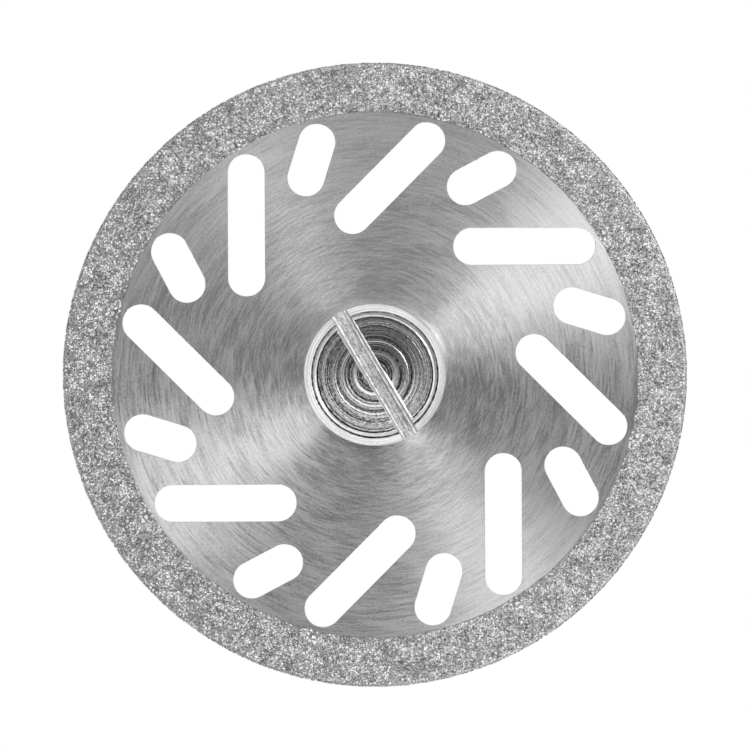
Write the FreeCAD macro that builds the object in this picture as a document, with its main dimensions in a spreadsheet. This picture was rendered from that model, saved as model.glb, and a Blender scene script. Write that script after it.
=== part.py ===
"""Double-sided diamond disc of a dental laboratory, screwed to its handpiece mandrel.

A thin perforated steel blade carries a ring of nickel-bonded diamond grit on both faces and round its
edge. A slotted screw clamps the blade against the collar of a mandrel whose plain shank goes into the
handpiece. The tool stands on the screw's head: the origin is the middle of the head's face, and +Z runs
along the axis towards the end of the shank. All sizes are in millimetres and degrees.
"""

import FreeCAD, Part
import os

import Sketcher

# Each driving size: its alias in the sheet, its value, and what it measures.
SIZES = [
    ("overall_length", "44.5", "screw head's face to the end of the shank"),
    ("disc_diameter", "22.0", "over the diamond rim"),
    ("blade_thickness", "0.16", "steel blade alone"),
    ("bore_play", "0.1", "radial play between the blade's bore and the screw"),
    ("coat_width", "1.73", "diamond rim, measured along the radius"),
    ("coat_thickness", "0.07", "diamond layer on each face and on the edge"),
    ("slot_count", "8", "slots of each of the two kinds"),
    ("slot_width", "1.3", "both kinds of slot"),
    ("long_slot_length", "5.0", "over its round ends"),
    ("long_slot_distance", "6.94", "middle of a long slot to the axis"),
    ("long_slot_azimuth", "4.3", "first long slot"),
    ("long_slot_lean", "40.4", "turn of a long slot away from the radius"),
    ("short_slot_length", "2.6", "over its round ends"),
    ("short_slot_distance", "7.88", "middle of a short slot to the axis"),
    ("short_slot_offset", "24.2", "turn from a long slot to the next short one"),
    ("short_slot_lean", "33.6", "turn of a short slot away from the radius"),
    ("head_diameter", "5.0", "screw head"),
    ("head_height", "1.0", "screw head, face to seat"),
    ("head_bevel", "0.26", "bright bevel round the head's face"),
    ("groove_width", "0.07", "V groove between the bevel and the flat ring"),
    ("groove_depth", "0.03", "V groove between the bevel and the flat ring"),
    ("face_land", "0.18", "from the bevel to the recess, with the flat ring on which the tool stands"),
    ("face_recess", "0.04", "step at 45 degrees down inside the flat ring"),
    ("face_dish", "0.05", "further depth of the face at the middle"),
    ("driver_width", "0.6", "screwdriver slot"),
    ("driver_depth", "0.5", "screwdriver slot, from the flat ring"),
    ("driver_azimuth", "59.5", "where the tightened slot points"),
    ("thread_diameter", "1.6", "over the screw's thread"),
    ("thread_length", "3.6", "screw's reach into the mandrel"),
    ("thread_lead_in", "0.25", "bevel at the screw's end"),
    ("thread_clearance", "0.01", "radial, between the screw and its hole"),
    ("hole_spare", "0.6", "hole's depth past the end of the screw"),
    ("drill_angle", "118", "full angle of the hole's drilled end"),
    ("collar_diameter", "5.0", "mandrel's collar behind the blade"),
    ("collar_thickness", "1.0", "mandrel's collar"),
    ("collar_bevel", "0.15", "both edges of the collar"),
    ("neck_diameter", "3.4", "where the cone behind the collar starts"),
    ("neck_length", "0.8", "cone from the collar down to the shank"),
    ("shank_diameter", "2.35", "handpiece shank"),
    ("shank_bevel", "0.3", "bevel at the end of the shank"),
]

# Lengths that several pieces share, worked out from the sheet.
DISC_RADIUS = "sizes.disc_diameter / 2"
BLADE_RADIUS = f"{DISC_RADIUS} - sizes.coat_thickness"
THREAD_RADIUS = "sizes.thread_diameter / 2"
HEAD_RADIUS = "sizes.head_diameter / 2"
COLLAR_RADIUS = "sizes.collar_diameter / 2"
SHANK_RADIUS = "sizes.shank_diameter / 2"
BLADE_LEVEL = "sizes.head_height"
COLLAR_LEVEL = "sizes.head_height + sizes.blade_thickness"

# How a sketch numbers its own axes and the points of a curve.
ORIGIN = -1
UPRIGHT = -2
START_POINT, END_POINT, CENTRE_POINT = range(1, 4)


def make_sheet(doc):
    """Writes the driving sizes into a spreadsheet, one row each."""
    sheet = doc.addObject("Spreadsheet::Sheet", "sizes")
    for row, (alias, number, meaning) in enumerate(SIZES, start=1):
        sheet.set(f"A{row}", meaning)
        sheet.set(f"B{row}", number)
        sheet.setAlias(f"B{row}", alias)
    doc.recompute()
    return sheet


def make_body(doc, name, level="0"):
    """Starts a sub-part whose own origin lies on the axis at the given level."""
    body = doc.addObject("PartDesign::Body", name)
    body.Label = name
    body.setExpression("Placement.Base.z", level)
    return body


def origin_feature(body, role):
    """One of the body's own axes or planes."""
    return next(item for item in body.Origin.OriginFeatures if item.Role == role)


def make_sketch(body, name, plane):
    """An empty sketch on one of the body's own planes."""
    sketch = body.newObject("Sketcher::SketchObject", name)
    sketch.AttachmentSupport = (origin_feature(body, plane), [""])
    sketch.MapMode = "FlatFace"
    return sketch


def tie(sketch, kind, curve, point, distance):
    """Holds a point of a sketch at a distance from the origin along one axis.

    kind is DistanceX or DistanceY, and the distance is an expression. A distance of 0 puts the point
    on the other axis, because a sketch refuses a length of nothing.
    """
    if distance == "0":
        axis = UPRIGHT if kind == "DistanceX" else ORIGIN
        sketch.addConstraint(Sketcher.Constraint("PointOnObject", curve, point, axis))
        return
    number = float(sketch.evalExpression(distance))
    index = sketch.addConstraint(
        Sketcher.Constraint(kind, ORIGIN, START_POINT, curve, point, number)
    )
    sketch.setExpression(f"Constraints[{index}]", distance)


def draw_outline(sketch, corners):
    """Draws a closed outline and ties every corner to the sheet.

    A corner is (across, up) or (across, up, middle). One with a middle starts an arc that turns
    anticlockwise about that middle to the next corner. All are expressions.
    """
    places = [
        FreeCAD.Vector(*(float(sketch.evalExpression(text)) for text in corner[:2]), 0)
        for corner in corners
    ]
    for index, (corner, start) in enumerate(zip(corners, places)):
        end = places[(index + 1) % len(places)]
        if len(corner) == 2:
            sketch.addGeometry(Part.LineSegment(start, end))
            continue
        middle = FreeCAD.Vector(*(float(sketch.evalExpression(text)) for text in corner[2]), 0)
        circle = Part.Circle(middle, FreeCAD.Vector(0, 0, 1), (start - middle).Length)
        sketch.addGeometry(Part.ArcOfCircle(circle, circle.parameter(start), circle.parameter(end)))
    for index, corner in enumerate(corners):
        following = (index + 1) % len(corners)
        sketch.addConstraint(
            Sketcher.Constraint("Coincident", index, END_POINT, following, START_POINT)
        )
        tie(sketch, "DistanceX", index, START_POINT, corner[0])
        tie(sketch, "DistanceY", index, START_POINT, corner[1])
        if len(corner) == 3:
            tie(sketch, "DistanceX", index, CENTRE_POINT, corner[2][0])


def draw_circle(sketch, diameter):
    """Draws a circle about the origin whose diameter is an expression."""
    radius = float(sketch.evalExpression(diameter)) / 2
    circle = sketch.addGeometry(
        Part.Circle(FreeCAD.Vector(0, 0, 0), FreeCAD.Vector(0, 0, 1), radius)
    )
    sketch.addConstraint(
        Sketcher.Constraint("Coincident", circle, CENTRE_POINT, ORIGIN, START_POINT)
    )
    index = sketch.addConstraint(Sketcher.Constraint("Diameter", circle, 2 * radius))
    sketch.setExpression(f"Constraints[{index}]", diameter)


def revolve(body, name, corners):
    """Turns an outline in the XZ plane once round the Z axis."""
    sketch = make_sketch(body, f"{name}_profile", "XZ_Plane")
    draw_outline(sketch, corners)
    turned = body.newObject("PartDesign::Revolution", name)
    turned.Profile = sketch
    turned.ReferenceAxis = (sketch, ["V_Axis"])
    turned.Angle = 360
    return turned


def cut_slots(body, name, length, distance, azimuth, lean):
    """Punches a ring of obround slots through the blade.

    The sketch's own frame is put at the first slot's middle and turned along it, so the obround is
    drawn straight about the sketch's origin.
    """
    sketch = make_sketch(body, f"{name}_outline", "XY_Plane")
    sketch.setExpression("AttachmentOffset.Base.x", f"{distance} * cos({azimuth})")
    sketch.setExpression("AttachmentOffset.Base.y", f"{distance} * sin({azimuth})")
    sketch.setExpression("AttachmentOffset.Rotation.Angle", f"{azimuth} + {lean}")
    straight = f"({length} - sizes.slot_width) / 2"
    half_width = "sizes.slot_width / 2"
    draw_outline(
        sketch,
        [
            (f"-{straight}", f"-{half_width}"),
            (straight, f"-{half_width}", (straight, "0")),
            (straight, half_width),
            (f"-{straight}", half_width, (f"-{straight}", "0")),
        ],
    )
    pocket = body.newObject("PartDesign::Pocket", f"{name}_pocket")
    pocket.Profile = sketch
    pocket.Type = "ThroughAll"
    pocket.Midplane = True
    ring = body.newObject("PartDesign::PolarPattern", f"{name}_ring")
    ring.Originals = [pocket]
    ring.Axis = (origin_feature(body, "Z_Axis"), [""])
    ring.Angle = 360
    ring.setExpression("Occurrences", "sizes.slot_count")
    body.Tip = ring


def make_blade(doc):
    """Thin steel disc with a bore for the screw and two rings of leaning slots."""
    body = make_body(doc, "blade", BLADE_LEVEL)
    sketch = make_sketch(body, "blade_outline", "XY_Plane")
    draw_circle(sketch, f"2 * ({BLADE_RADIUS})")
    draw_circle(sketch, "sizes.thread_diameter + 2 * sizes.bore_play")
    plate = body.newObject("PartDesign::Pad", "blade_plate")
    plate.Profile = sketch
    plate.setExpression("Length", "sizes.blade_thickness")
    doc.recompute()
    cut_slots(
        body,
        "long_slot",
        length="sizes.long_slot_length",
        distance="sizes.long_slot_distance",
        azimuth="sizes.long_slot_azimuth",
        lean="sizes.long_slot_lean",
    )
    cut_slots(
        body,
        "short_slot",
        length="sizes.short_slot_length",
        distance="sizes.short_slot_distance",
        azimuth="(sizes.long_slot_azimuth + sizes.short_slot_offset)",
        lean="sizes.short_slot_lean",
    )
    return body


def make_diamond_rim(doc):
    """Plated layer that covers both faces of the blade's rim and wraps its edge with round corners."""
    inner = f"{DISC_RADIUS} - sizes.coat_width"
    body = make_body(doc, "diamond_rim", BLADE_LEVEL)
    revolve(
        body,
        "diamond_layer",
        [
            (inner, "-sizes.coat_thickness"),
            (BLADE_RADIUS, "-sizes.coat_thickness", (BLADE_RADIUS, "0")),
            (DISC_RADIUS, "0"),
            (DISC_RADIUS, "sizes.blade_thickness", (BLADE_RADIUS, "sizes.blade_thickness")),
            (BLADE_RADIUS, "sizes.blade_thickness + sizes.coat_thickness"),
            (inner, "sizes.blade_thickness + sizes.coat_thickness"),
            (inner, "sizes.blade_thickness"),
            (BLADE_RADIUS, "sizes.blade_thickness"),
            (BLADE_RADIUS, "0"),
            (inner, "0"),
        ],
    )
    return body


def make_clamp_screw(doc):
    """Flat-headed screw with a bevelled and grooved rim, a shallow dished face and a driver slot."""
    face_radius = f"{HEAD_RADIUS} - sizes.head_bevel"
    recess_radius = f"{face_radius} - sizes.face_land"
    end = "sizes.head_height + sizes.blade_thickness + sizes.thread_length"
    body = make_body(doc, "clamp_screw")
    revolve(
        body,
        "screw_blank",
        [
            ("0", "sizes.face_recess + sizes.face_dish"),
            (recess_radius, "sizes.face_recess"),
            (f"{recess_radius} + sizes.face_recess", "0"),
            (f"{face_radius} - sizes.groove_width", "0"),
            (f"{face_radius} - sizes.groove_width / 2", "sizes.groove_depth"),
            (face_radius, "0"),
            (HEAD_RADIUS, "sizes.head_bevel"),
            (HEAD_RADIUS, "sizes.head_height"),
            (THREAD_RADIUS, "sizes.head_height"),
            (THREAD_RADIUS, f"{end} - sizes.thread_lead_in"),
            (f"{THREAD_RADIUS} - sizes.thread_lead_in", end),
            ("0", end),
        ],
    )
    doc.recompute()
    sketch = make_sketch(body, "driver_slot_outline", "XY_Plane")
    sketch.setExpression("AttachmentOffset.Rotation.Angle", "sizes.driver_azimuth")
    past_the_head = "sizes.head_diameter"
    half_width = "sizes.driver_width / 2"
    draw_outline(
        sketch,
        [
            (f"-{past_the_head}", f"-{half_width}"),
            (past_the_head, f"-{half_width}"),
            (past_the_head, half_width),
            (f"-{past_the_head}", half_width),
        ],
    )
    slot = body.newObject("PartDesign::Pocket", "driver_slot")
    slot.Profile = sketch
    slot.Reversed = True
    slot.setExpression("Length", "sizes.driver_depth")
    return body


def make_mandrel(doc):
    """Collar, cone and plain shank turned in one piece, with the blind hole for the screw."""
    length = "sizes.overall_length - sizes.head_height - sizes.blade_thickness"
    body = make_body(doc, "mandrel", COLLAR_LEVEL)
    revolve(
        body,
        "mandrel_blank",
        [
            ("0", "0"),
            (f"{COLLAR_RADIUS} - sizes.collar_bevel", "0"),
            (COLLAR_RADIUS, "sizes.collar_bevel"),
            (COLLAR_RADIUS, "sizes.collar_thickness - sizes.collar_bevel"),
            (f"{COLLAR_RADIUS} - sizes.collar_bevel", "sizes.collar_thickness"),
            ("sizes.neck_diameter / 2", "sizes.collar_thickness"),
            (SHANK_RADIUS, "sizes.collar_thickness + sizes.neck_length"),
            (SHANK_RADIUS, f"{length} - sizes.shank_bevel"),
            (f"{SHANK_RADIUS} - sizes.shank_bevel", length),
            ("0", length),
        ],
    )
    sketch = make_sketch(body, "screw_hole_place", "XY_Plane")
    draw_circle(sketch, "sizes.thread_diameter")
    doc.recompute()
    hole = body.newObject("PartDesign::Hole", "screw_hole")
    hole.Profile = sketch
    hole.DepthType = "Dimension"
    hole.DrillPoint = "Angled"
    hole.DrillForDepth = False
    hole.Reversed = True
    hole.setExpression("Diameter", "sizes.thread_diameter + 2 * sizes.thread_clearance")
    hole.setExpression("Depth", "sizes.thread_length + sizes.hole_spare")
    hole.setExpression("DrillPointAngle", "sizes.drill_angle")
    return body


def check_document(doc):
    """Stops if any object of the document failed."""
    for item in doc.Objects:
        if {"Invalid", "Error"} & set(item.State):
            raise RuntimeError(f"{item.Label} failed: {item.State}")
        if item.isDerivedFrom("Sketcher::SketchObject") and not item.FullyConstrained:
            raise RuntimeError(f"{item.Label} is not fully constrained")


def write_parts(bodies):
    """Checks each sub-part's shape and writes it to its own STEP file."""
    for body in bodies:
        if body.Shape.isNull() or not body.Shape.isValid() or body.Shape.Volume <= 0:
            raise RuntimeError(f"{body.Label} has no valid shape")
    os.makedirs("parts", exist_ok=True)
    for body in bodies:
        body.Shape.exportStep(f"parts/{body.Label}.step")
        box = body.Shape.BoundBox
        print(
            f"{body.Label}: {body.Shape.Volume:.3f} mm3, {len(body.Shape.Solids)} solid,"
            f" z {box.ZMin:.3f} to {box.ZMax:.3f}, across {box.XLength:.3f}"
        )


def main():
    """Builds the document and writes its four sub-parts."""
    doc = FreeCAD.newDocument("diamond_disc")
    make_sheet(doc)
    bodies = [
        make_blade(doc),
        make_diamond_rim(doc),
        make_clamp_screw(doc),
        make_mandrel(doc),
    ]
    doc.recompute()
    check_document(doc)
    write_parts(bodies)


main()
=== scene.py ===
"""Looks of a double-sided diamond disc that is screwed to its handpiece mandrel.

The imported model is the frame. Each of its four nodes is replaced by a finer piece in the same
place: a round-brushed blade with punched slots, a nickel-bonded rim with real diamond grains on
both faces and round the edge, a turned screw with a milled driver slot, and a ground mandrel.

The classes hold their sizes in millimetres and draw in millimetres; a finished mesh is in metres.
"""

import logging
import math
import random
from dataclasses import dataclass, field, replace
from enum import Enum

import bmesh
import bpy
from mathutils import Matrix, Vector, noise


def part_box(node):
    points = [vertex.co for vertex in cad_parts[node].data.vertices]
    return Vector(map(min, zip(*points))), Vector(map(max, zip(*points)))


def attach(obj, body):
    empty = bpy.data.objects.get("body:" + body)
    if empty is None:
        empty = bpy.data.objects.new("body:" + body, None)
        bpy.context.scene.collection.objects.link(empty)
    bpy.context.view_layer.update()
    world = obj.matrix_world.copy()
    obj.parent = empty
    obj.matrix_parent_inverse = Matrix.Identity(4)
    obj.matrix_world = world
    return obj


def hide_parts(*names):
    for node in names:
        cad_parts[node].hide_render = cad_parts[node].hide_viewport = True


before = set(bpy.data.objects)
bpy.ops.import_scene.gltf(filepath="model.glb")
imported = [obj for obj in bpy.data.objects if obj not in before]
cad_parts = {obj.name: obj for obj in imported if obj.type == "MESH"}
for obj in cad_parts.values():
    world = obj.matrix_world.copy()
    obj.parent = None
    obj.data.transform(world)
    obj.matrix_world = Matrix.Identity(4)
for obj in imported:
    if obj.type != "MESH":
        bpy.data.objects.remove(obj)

Mesh = bmesh.types.BMesh
Piece = bpy.types.Object
Material = bpy.types.Material
Tree = bpy.types.NodeTree
Socket = bpy.types.NodeSocket
Pair = tuple[float, float]
Profile = list[Pair]
Table = tuple[Pair, ...]
Stops = tuple[tuple[float, str], ...]
Inputs = dict[str | int, object]

MM = 0.001
UP = Vector((0, 0, 1))
ORIGIN = Vector((0, 0, 0))

# Levels or radii that differ by less than this many mm are the same.
TOUCH = 0.001

# A face is a flat one when its normal is at least this upright.
FLAT = 0.98

# The photograph's side, and the disc's centre and radius in it, in pixels.
PHOTO_SIDE = 750
PHOTO_CENTRE = (374.9, 374.7)
PHOTO_DISC_RADIUS = 312.3

# A noise swings about its middle and keeps mostly inside its span.
NOISE_LOW, NOISE_MIDDLE, NOISE_HIGH = 0.3, 0.5, 0.7
NOISE_SPAN = {"From Min": NOISE_LOW, "From Max": NOISE_HIGH}

# The face attribute that holds how pale each diamond grain is.
GRAIN_TONE = "grain_tone"

log = logging.getLogger("diamond_disc")


def linear_colour(hex_text: str) -> tuple[float, float, float, float]:
    """Turns an sRGB hex colour into the linear colour that a shader reads.

    Args:
        hex_text: Six hex digits after a number sign, such as "#B7B7B7".

    Returns:
        Linear red, green and blue, and an alpha of 1.
    """
    channels = [int(hex_text[at : at + 2], 16) / 255 for at in (1, 3, 5)]
    linear = [c / 12.92 if c <= 0.04045 else ((c + 0.055) / 1.055) ** 2.4 for c in channels]
    return (*linear, 1.0)


WHITE = linear_colour("#FFFFFF")


def wire(node: bpy.types.Node, inputs: Inputs) -> None:
    """Sets a node's inputs.

    Args:
        node: The node.
        inputs: For each input, by name or number, its value or the output that feeds it.
    """
    for socket, value in inputs.items():
        if isinstance(value, Socket):
            node.id_data.links.new(value, node.inputs[socket])
        else:
            node.inputs[socket].default_value = value


def add_node(
    tree: Tree, kind: str, inputs: Inputs, output: str | int = 0, **options: object
) -> Socket:
    """Adds a node with its settings and links.

    Args:
        tree: Node tree of a material or of the world.
        kind: The node's type name after ShaderNode.
        inputs: For each input, by name or number, its value or the output that feeds it.
        output: Name or number of the output that the node is wanted for.
        **options: Values of the node's own settings.

    Returns:
        That output.
    """
    node = tree.nodes.new(f"ShaderNode{kind}")
    for option, value in options.items():
        setattr(node, option, value)
    wire(node, inputs)
    return node.outputs[output]


def shades(factor: Socket, stops: Stops) -> Socket:
    """Grades a finish between its shades.

    Args:
        factor: The output that picks the shade.
        stops: Each shade's place from 0 to 1 and its hex colour, in order.

    Returns:
        The colour.
    """
    colour = add_node(factor.id_data, "ValToRGB", {"Fac": factor})
    elements = colour.node.color_ramp.elements
    while len(elements) < len(stops):
        elements.new(1.0)
    for element, (place, hex_text) in zip(elements, stops):
        element.position = place
        element.color = linear_colour(hex_text)
    return colour


def new_material(name: str) -> tuple[Material, Tree, Socket]:
    """Starts a material.

    Args:
        name: Its name.

    Returns:
        The material, its node tree, and a point's place on the piece, in metres.
    """
    material = bpy.data.materials.new(name)
    material.use_nodes = True
    tree = material.node_tree
    return material, tree, add_node(tree, "TexCoord", {}, "Object")


class Finish:
    """A finish of the tool, which is made into one material.

    Attributes:
        name: Material name.
    """

    name: str

    def build(self) -> Material:
        """Makes the material.

        Returns:
            The material.
        """
        material, tree, place = new_material(self.name)
        wire(tree.nodes["Principled BSDF"], self._inputs(place))
        return material

    def _inputs(self, place: Socket) -> Inputs:
        """Gives what the shader is fed with.

        Args:
            place: A point's place on the piece, in metres.

        Returns:
            The inputs by name, each a value or the output that feeds it.
        """
        raise NotImplementedError


class Lay(Enum):
    """Direction in which a tool or an abrasive left its marks."""

    ROUND = "circles about the axis"
    STRAIGHT = "lines along one direction"


@dataclass(frozen=True)
class Marks:
    """One layer of tool or abrasive marks.

    Attributes:
        across: Distance between marks, in mm.
        along: Length over which a mark fades, in mm.
        weight: Strength of this layer.
        off_centre: How far the circles' centre lies from the axis, in mm.
    """

    across: float
    along: float
    weight: float
    off_centre: Pair = (0.0, 0.0)


@dataclass(frozen=True)
class MarkedSteel(Finish):
    """Steel with fine directional marks, which spread a highlight square to themselves.

    Attributes:
        name: Material name.
        dark: Colour at the bottom of the marks.
        light: Colour at their crests.
        roughness: At the crests of the marks and at their bottom.
        layers: The marks themselves.
        relief: Height of the marks, in mm.
        anisotropy: How strongly the highlight is drawn out.
        lay: Which way the marks run.
        bearing: Direction of straight marks, in degrees from +X.
        reference: Radius at which round marks have their stated length, in mm.
        painted_rings: Radius in mm and shade, from -0.5 to 0.5, of rings of painted shade or
            light.
    """

    name: str
    dark: str
    light: str
    roughness: Pair
    layers: tuple[Marks, ...]
    relief: float
    anisotropy: float = 0.0
    lay: Lay = Lay.ROUND
    bearing: float = 0.0
    reference: float = 5.0
    painted_rings: Table = ()

    def _inputs(self, place: Socket) -> Inputs:
        """Gives what the shader is fed with.

        Args:
            place: A point's place on the piece, in metres.

        Returns:
            The inputs by name, each a value or the output that feeds it.
        """
        tree = place.id_data
        pattern = self._pattern(place)
        crest, bottom = self.roughness
        span = {**NOISE_SPAN, "Value": pattern, "To Min": bottom, "To Max": crest}
        height = {"Height": pattern, "Distance": self.relief * MM, "Strength": 1.0}
        return {
            "Metallic": 1.0,
            "Anisotropic": self.anisotropy,
            "Base Color": shades(pattern, ((NOISE_LOW, self.dark), (NOISE_HIGH, self.light))),
            "Roughness": add_node(tree, "MapRange", span),
            "Normal": add_node(tree, "Bump", height),
            "Tangent": self._spread(place),
        }

    def _flat(self, place: Socket) -> Socket:
        """Drops the height from a place, which leaves the vector from the axis."""
        inputs = {0: place, 1: (1.0, 1.0, 0.0)}
        return add_node(place.id_data, "VectorMath", inputs, operation="MULTIPLY")

    def _spread(self, place: Socket) -> Socket:
        """Gives the direction square to the marks, along which the highlight is drawn out.

        Args:
            place: A point's place on the piece, in metres.

        Returns:
            The direction.
        """
        if self.lay is Lay.STRAIGHT:
            square = math.radians(self.bearing + 90)
            inputs = {"X": math.cos(square), "Y": math.sin(square)}
            return add_node(place.id_data, "CombineXYZ", inputs)
        inputs = {0: self._flat(place)}
        return add_node(place.id_data, "VectorMath", inputs, operation="NORMALIZE")

    def _pattern(self, place: Socket) -> Socket:
        """Adds up the layers of marks, and adds the painted rings of shade and light.

        Args:
            place: A point's place on the piece, in metres.

        Returns:
            A value that goes from 0 in the marks to 1 at their crests.
        """
        tree = place.id_data
        total = NOISE_MIDDLE
        for number, marks in enumerate(self.layers):
            # Each layer reads its own part of the noise.
            apart = Vector((17.0, 5.0, 0.0)) * number
            inputs = {0: self._coordinates(place, marks), 1: apart}
            vector = add_node(tree, "VectorMath", inputs, operation="ADD")
            inputs = {"Vector": vector, "Scale": 1.0, "Detail": 1.5, "Roughness": 0.6}
            inputs = {0: add_node(tree, "TexNoise", inputs), 1: NOISE_MIDDLE}
            swing = add_node(tree, "Math", inputs, operation="SUBTRACT")
            inputs = {0: swing, 1: marks.weight, 2: total}
            total = add_node(tree, "Math", inputs, operation="MULTIPLY_ADD")
        return self._add_painted_rings(place, total) if self.painted_rings else total

    def _add_painted_rings(self, place: Socket, total: Socket) -> Socket:
        """Adds the rings that are painted darker or lighter as a whole: painted shade and painted
        light.

        Args:
            place: A point's place on the piece, in metres.
            total: The value of the marks.

        Returns:
            That value with the rings in it.
        """
        tree = place.id_data
        span = self.painted_rings[-1][0]
        radius = add_node(tree, "VectorMath", {0: self._flat(place)}, "Value", operation="LENGTH")
        share = add_node(tree, "Math", {0: radius, 1: 1 / (span * MM)}, operation="MULTIPLY")
        shade = add_node(tree, "FloatCurve", {"Value": share})
        mapping = shade.node.mapping
        points = mapping.curves[0].points
        for band, lift in self.painted_rings[1:-1]:
            points.new(band / span, NOISE_MIDDLE + lift)
        for point, (band, lift) in ((points[0], self.painted_rings[0]), (points[-1], self.painted_rings[-1])):
            point.location = (band / span, NOISE_MIDDLE + lift)
        mapping.update()
        lifted = add_node(tree, "Math", {0: total, 1: shade}, operation="ADD")
        return add_node(tree, "Math", {0: lifted, 1: NOISE_MIDDLE}, operation="SUBTRACT")

    def _coordinates(self, place: Socket, marks: Marks) -> Socket:
        """Works out coordinates in which a mark is one unit wide and one unit long.

        Args:
            place: A point's place on the piece, in metres.
            marks: The layer of marks.

        Returns:
            The coordinates.
        """
        tree = place.id_data
        across, along = 1 / (marks.across * MM), 1 / (marks.along * MM)
        if self.lay is Lay.STRAIGHT:
            inputs = {"Vector": place, "Rotation": (0.0, 0.0, math.radians(self.bearing))}
            turned = add_node(tree, "Mapping", inputs, vector_type="TEXTURE")
            inputs = {0: turned, 1: (along, across, across)}
            return add_node(tree, "VectorMath", inputs, operation="MULTIPLY")
        inputs = {"Vector": place, "Location": (*(MM * c for c in marks.off_centre), 0.0)}
        flat = self._flat(add_node(tree, "Mapping", inputs))
        radius = add_node(tree, "VectorMath", {0: flat}, "Value", operation="LENGTH")
        height = add_node(tree, "SeparateXYZ", {0: place}, "Z")
        outwards = add_node(tree, "Math", {0: radius, 1: height}, operation="ADD")
        ring = add_node(tree, "Math", {0: outwards, 1: across}, operation="MULTIPLY")
        bearing = add_node(tree, "VectorMath", {0: flat}, operation="NORMALIZE")
        turns = self.reference / marks.along
        inputs = {0: bearing, 1: (turns, turns, 0.0)}
        around = add_node(tree, "VectorMath", inputs, operation="MULTIPLY")
        inputs = {0: around, 1: add_node(tree, "CombineXYZ", {"Z": ring})}
        return add_node(tree, "VectorMath", inputs, operation="ADD")


@dataclass(frozen=True)
class NickelPlate(Finish):
    """Dull electroplated nickel, whose nodules are too fine to see one by one, with painted shade
    in their hollows.

    Attributes:
        name: Material name.
        stops: Colours from the hollows, darkened as painted shade, to the crests.
        nodule: Size of a nodule, in mm; the real ones are finer and would not show.
        relief: Height of a nodule, in mm.
        roughness: Roughness all over.
    """

    name: str = "nickel_electroplate"
    stops: Stops = ((0.35, "#484848"), (0.65, "#D8D8D8"))
    nodule: float = 0.04
    relief: float = 0.006
    roughness: float = 0.42

    def _inputs(self, place: Socket) -> Inputs:
        """Gives what the shader is fed with.

        Args:
            place: A point's place on the piece, in metres.

        Returns:
            The inputs by name, each a value or the output that feeds it.
        """
        tree = place.id_data
        inputs = {"Vector": place, "Scale": 1 / (self.nodule * MM), "Detail": 2.0}
        nodules_and_shade = add_node(tree, "TexNoise", inputs)
        height = {"Height": nodules_and_shade, "Distance": self.relief * MM, "Strength": 1.0}
        return {
            "Metallic": 1.0,
            "Roughness": self.roughness,
            # Painted shade: the colour follows the nodules' height, darker in their hollows.
            "Base Color": shades(nodules_and_shade, self.stops),
            "Normal": add_node(tree, "Bump", height),
        }


@dataclass(frozen=True)
class DiamondGrain(Finish):
    """Synthetic industrial diamond: hard facets that glint, with dark and milky grains mixed.

    Attributes:
        name: Material name.
        stops: Colours from the darkest grain to the palest one.
        mottles: Size in mm, detail and strength, first of the patches in which the coat is a
            little darker, then of the pits on a grain's facets.
        roughness: Facets are etched, so they are not quite mirrors.
        refraction: Index of refraction of diamond.
    """

    name: str = "diamond_grains"
    stops: Stops = ((0.0, "#000000"), (0.42, "#808080"), (1.0, "#F8F8F8"))
    mottles: tuple[tuple[float, float, float], ...] = ((0.5, 3.0, 0.3), (0.03, 1.0, 0.4))
    roughness: float = 0.36
    refraction: float = 2.417

    def _inputs(self, place: Socket) -> Inputs:
        """Gives what the shader is fed with.

        Args:
            place: A point's place on the piece, in metres.

        Returns:
            The inputs by name, each a value or the output that feeds it.
        """
        tree = place.id_data
        tone = add_node(tree, "Attribute", {}, "Fac", attribute_name=GRAIN_TONE)
        for size, detail, strength in self.mottles:
            inputs = {"Vector": place, "Scale": 1 / (size * MM), "Detail": detail}
            mottle = add_node(tree, "TexNoise", inputs)
            span = {**NOISE_SPAN, "Value": mottle, "To Min": -strength, "To Max": strength}
            inputs = {0: tone, 1: add_node(tree, "MapRange", span)}
            tone = add_node(tree, "Math", inputs, operation="ADD")
        return {
            "Roughness": self.roughness,
            "IOR": self.refraction,
            "Base Color": shades(tone, self.stops),
        }


# The real marks of a brush, a lathe tool or a grinding wheel are mostly finer than a pixel, so
# the finest layers below are drawn 0.03 to 0.06 mm apart, which is as coarse as they need to show.

# Round-brushed spring steel: the fine circles draw the light out into broad sectors.
BRUSHED_BLADE = MarkedSteel(
    name="spring_steel_round_brushed",
    dark="#A6A6A6",
    light="#C4C4C4",
    roughness=(0.45, 0.28),
    anisotropy=0.88,
    layers=(
        Marks(across=0.055, along=1.0, weight=0.60),
        Marks(across=0.045, along=0.6, weight=0.60, off_centre=(0.9, -0.5)),
        Marks(across=0.06, along=1.6, weight=0.50, off_centre=(-0.8, 0.7)),
        Marks(across=0.045, along=0.06, weight=0.70),
        Marks(across=0.45, along=1.6, weight=0.35, off_centre=(0.4, 0.6)),
        Marks(across=2.50, along=1.5, weight=0.30),
    ),
    relief=0.0002,
    # Painted light: the colour is a little darker near the hub and lighter towards the rim.
    painted_rings=((0.0, -0.06), (3.0, -0.06), (5.0, 0.0), (8.0, 0.04), (11.0, 0.05)),
)
# The same steel where it was sheared by the punch: a plain grainy wall.
PUNCHED_WALL = MarkedSteel(
    name="spring_steel_punched_edge",
    dark="#999999",
    light="#CECECE",
    roughness=(0.25, 0.40),
    lay=Lay.STRAIGHT,
    layers=(Marks(across=0.03, along=0.03, weight=1.0),),
    relief=0.0008,
)
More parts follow.
